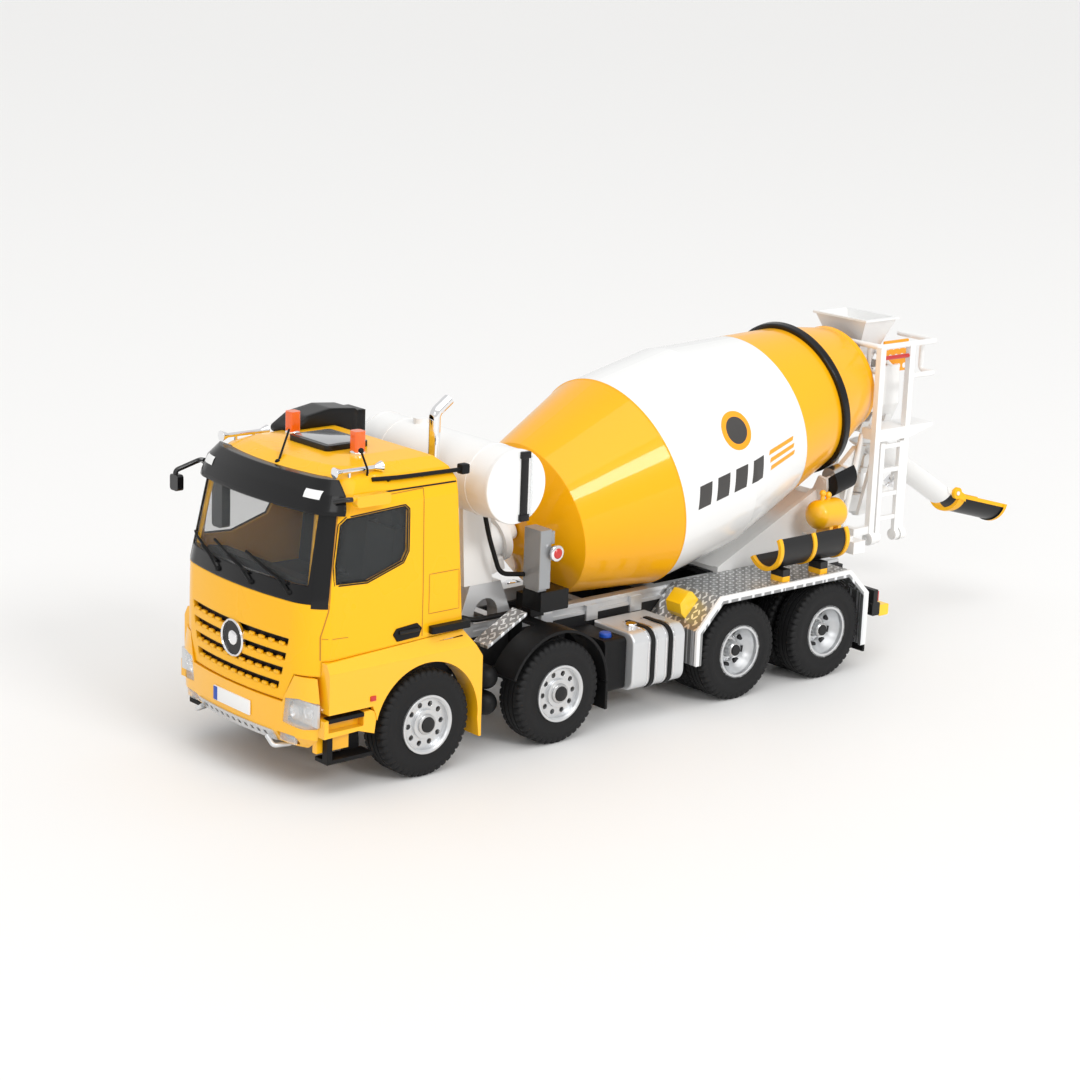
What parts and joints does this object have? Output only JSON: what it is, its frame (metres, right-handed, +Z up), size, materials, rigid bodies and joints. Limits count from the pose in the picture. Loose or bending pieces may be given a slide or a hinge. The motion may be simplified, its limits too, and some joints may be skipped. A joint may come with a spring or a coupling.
{
  "type": "toy cement mixer truck",
  "caption": "Toy cement mixer truck with a turning drum, steering front axles, rolling wheels, a loading hopper, a swinging and tilting chute and a folding ladder.",
  "frame": {"origin": "on the ground, on the centre line, under the first axle", "axes": "+X to the front of the truck, +Y to its left side, +Z up"},
  "size_m": [0.2249, 0.0528, 0.0755],
  "materials": {
    "beacon_orange": "translucent orange",
    "black_plastic": "matt",
    "cab_yellow": "gloss yellow paint",
    "chrome": "polished",
    "drum_white": "satin white paint",
    "drum_yellow": "satin yellow paint",
    "frame_grey": "satin dark grey paint",
    "glass": "clear, lightly smoked",
    "gloss_black": "gloss",
    "grey_plastic": "matt",
    "lamp_clear": "clear",
    "rim_silver": "satin",
    "silver": "satin silver paint",
    "steel": "satin",
    "tread_plate": "satin, with a raised tread pattern",
    "tyre": "matt",
    "white_paint": "satin white paint"
  },
  "bodies": {
    "truck": {"chassis_frame": "frame_grey", "axle_beams": "frame_grey", "cab_shell": "cab_yellow", "cab_glass": "glass", "cab_interior": "black_plastic", "windscreen_frame": "gloss_black", "sun_visor": "gloss_black", "bumper_and_fenders": "cab_yellow", "headlamps": "lamp_clear", "skid_plate": "silver", "mirrors": "black_plastic", "roof_hatch": "cab_yellow", "beacons": "beacon_orange", "air_horns": "chrome", "air_intake": "gloss_black", "exhaust_stack": "chrome", "mudguards_and_steps": "black_plastic", "air_tanks": "black_plastic", "fuel_tank": "silver", "mixer_subframe": "silver", "drum_gearbox": "white_paint", "water_tank": "white_paint", "control_unit": "grey_plastic", "rear_fenders": "tread_plate", "rear_pedestal": "white_paint", "roller_guards": "black_plastic", "loading_hopper": "white_paint", "access_platform": "white_paint", "spare_chutes": "black_plastic", "pressure_tank": "cab_yellow", "wheel_chocks": "cab_yellow"},
    "steering_knuckle_1_left": {"steering_knuckle_1_left": "frame_grey"},
    "wheel_1_left": {"wheel_1_left_rim": "rim_silver", "wheel_1_left_tyre": "tyre"},
    "steering_knuckle_1_right": {"steering_knuckle_1_right": "frame_grey"},
    "wheel_1_right": {"wheel_1_right_rim": "rim_silver", "wheel_1_right_tyre": "tyre"},
    "tie_rod_1": {"tie_rod_1": "frame_grey"},
    "steering_knuckle_2_left": {"steering_knuckle_2_left": "frame_grey"},
    "wheel_2_left": {"wheel_2_left_rim": "rim_silver", "wheel_2_left_tyre": "tyre"},
    "steering_knuckle_2_right": {"steering_knuckle_2_right": "frame_grey"},
    "wheel_2_right": {"wheel_2_right_rim": "rim_silver", "wheel_2_right_tyre": "tyre"},
    "tie_rod_2": {"tie_rod_2": "frame_grey"},
    "wheelset_3": {"wheelset_3": "rim_silver", "wheelset_3_tyres": "tyre"},
    "wheelset_4": {"wheelset_4": "rim_silver", "wheelset_4_tyres": "tyre"},
    "drum": {"drum_cones": "drum_yellow", "drum_belly": "drum_white", "drum_track_ring": "gloss_black"},
    "support_roller_left": {"support_roller_left": "steel"},
    "support_roller_right": {"support_roller_right": "steel"},
    "chute_swivel": {"chute_swivel": "white_paint"},
    "main_chute": {"main_chute": "white_paint"},
    "chute_extension": {"chute_extension": "black_plastic"},
    "lift_barrel": {"lift_barrel": "white_paint"},
    "lift_rod": {"lift_rod": "chrome"},
    "folding_ladder": {"folding_ladder": "white_paint"}
  },
  "joints": [
    {"name": "steer_1_left", "type": "hinge", "parent": "truck", "child": "steering_knuckle_1_left", "pos_m": [0, 0.0159, 0.01076], "axis": [0, 0, 1], "range_deg": [-12, 12]},
    {"name": "spin_1_left", "type": "hinge", "parent": "steering_knuckle_1_left", "child": "wheel_1_left", "pos_m": [0, 0.0243, 0.01076], "axis": [0, 1, 0], "continuous": true},
    {"name": "steer_1_right", "type": "hinge", "parent": "truck", "child": "steering_knuckle_1_right", "pos_m": [0, -0.0159, 0.01076], "axis": [0, 0, 1], "range_deg": [-12.1, 12.1]},
    {"name": "spin_1_right", "type": "hinge", "parent": "steering_knuckle_1_right", "child": "wheel_1_right", "pos_m": [0, -0.0243, 0.01076], "axis": [0, 1, 0], "continuous": true},
    {"name": "tie_rod_1_shift", "type": "slide", "parent": "truck", "child": "tie_rod_1", "axis": [0, -1, 0], "range_m": [-0.00106, 0.00106]},
    {"name": "steer_2_left", "type": "hinge", "parent": "truck", "child": "steering_knuckle_2_left", "pos_m": [-0.034, 0.0159, 0.01076], "axis": [0, 0, 1], "range_deg": [-7.9, 7.9]},
    {"name": "spin_2_left", "type": "hinge", "parent": "steering_knuckle_2_left", "child": "wheel_2_left", "pos_m": [-0.034, 0.0243, 0.01076], "axis": [0, 1, 0], "continuous": true},
    {"name": "steer_2_right", "type": "hinge", "parent": "truck", "child": "steering_knuckle_2_right", "pos_m": [-0.034, -0.0159, 0.01076], "axis": [0, 0, 1], "range_deg": [-7.9, 7.9]},
    {"name": "spin_2_right", "type": "hinge", "parent": "steering_knuckle_2_right", "child": "wheel_2_right", "pos_m": [-0.034, -0.0243, 0.01076], "axis": [0, 1, 0], "continuous": true},
    {"name": "tie_rod_2_shift", "type": "slide", "parent": "truck", "child": "tie_rod_2", "axis": [0, -1, 0], "range_m": [-0.00069, 0.00069]},
    {"name": "spin_3", "type": "hinge", "parent": "truck", "child": "wheelset_3", "pos_m": [-0.085, 0, 0.01076], "axis": [0, 1, 0], "continuous": true},
    {"name": "spin_4", "type": "hinge", "parent": "truck", "child": "wheelset_4", "pos_m": [-0.112, 0, 0.01076], "axis": [0, 1, 0], "continuous": true},
    {"name": "drum_spin", "type": "hinge", "parent": "truck", "child": "drum", "pos_m": [-0.0405, 0, 0.03895], "axis": [-0.9736, 0, 0.2284], "continuous": true},
    {"name": "roller_spin_left", "type": "hinge", "parent": "truck", "child": "support_roller_left", "pos_m": [-0.12535, 0.01163, 0.04179], "axis": [-0.9736, 0, 0.2284], "continuous": true},
    {"name": "roller_spin_right", "type": "hinge", "parent": "truck", "child": "support_roller_right", "pos_m": [-0.12535, -0.01163, 0.04179], "axis": [-0.9736, 0, 0.2284], "continuous": true},
    {"name": "chute_swing", "type": "hinge", "parent": "truck", "child": "chute_swivel", "pos_m": [-0.14657, 0, 0.0276], "axis": [0, 0, 1], "range_deg": [-35, 35]},
    {"name": "chute_tilt", "type": "hinge", "parent": "chute_swivel", "child": "main_chute", "pos_m": [-0.14757, 0, 0.041], "axis": [0, 1, 0], "range_deg": [-5, 12]},
    {"name": "extension_fold", "type": "hinge", "parent": "main_chute", "child": "chute_extension", "pos_m": [-0.17697, 0, 0.02975], "axis": [0, 1, 0], "range_deg": [0, 150]},
    {"name": "lift_barrel_swing", "type": "hinge", "parent": "chute_swivel", "child": "lift_barrel", "pos_m": [-0.15077, 0, 0.0289], "axis": [0, 1, 0], "range_deg": [-3.27, 7.16]},
    {"name": "lift_rod_slide", "type": "slide", "parent": "lift_barrel", "child": "lift_rod", "axis": [-0.8172, 0, 0.5763], "range_m": [-0.00111, 0.00252]},
    {"name": "ladder_fold", "type": "hinge", "parent": "truck", "child": "folding_ladder", "pos_m": [-0.13557, 0.0143, 0.0264], "axis": [-1, 0, 0], "range_deg": [0, 170]}
  ],
  "couplings": [
    {"joint": "steer_1_right", "follows": "steer_1_left", "ratio": 1},
    {"joint": "tie_rod_1_shift", "follows": "steer_1_left", "m_per_rad": 0.005},
    {"joint": "steer_2_left", "follows": "steer_1_left", "ratio": 0.65},
    {"joint": "steer_2_right", "follows": "steer_1_left", "ratio": 0.65},
    {"joint": "tie_rod_2_shift", "follows": "steer_1_left", "m_per_rad": 0.00325},
    {"joint": "roller_spin_left", "follows": "drum_spin", "ratio": -7.4167},
    {"joint": "roller_spin_right", "follows": "drum_spin", "ratio": -7.4167},
    {"joint": "lift_barrel_swing", "follows": "chute_tilt", "ratio": 0.555},
    {"joint": "lift_rod_slide", "follows": "chute_tilt", "m_per_rad": 0.01156}
  ]
}
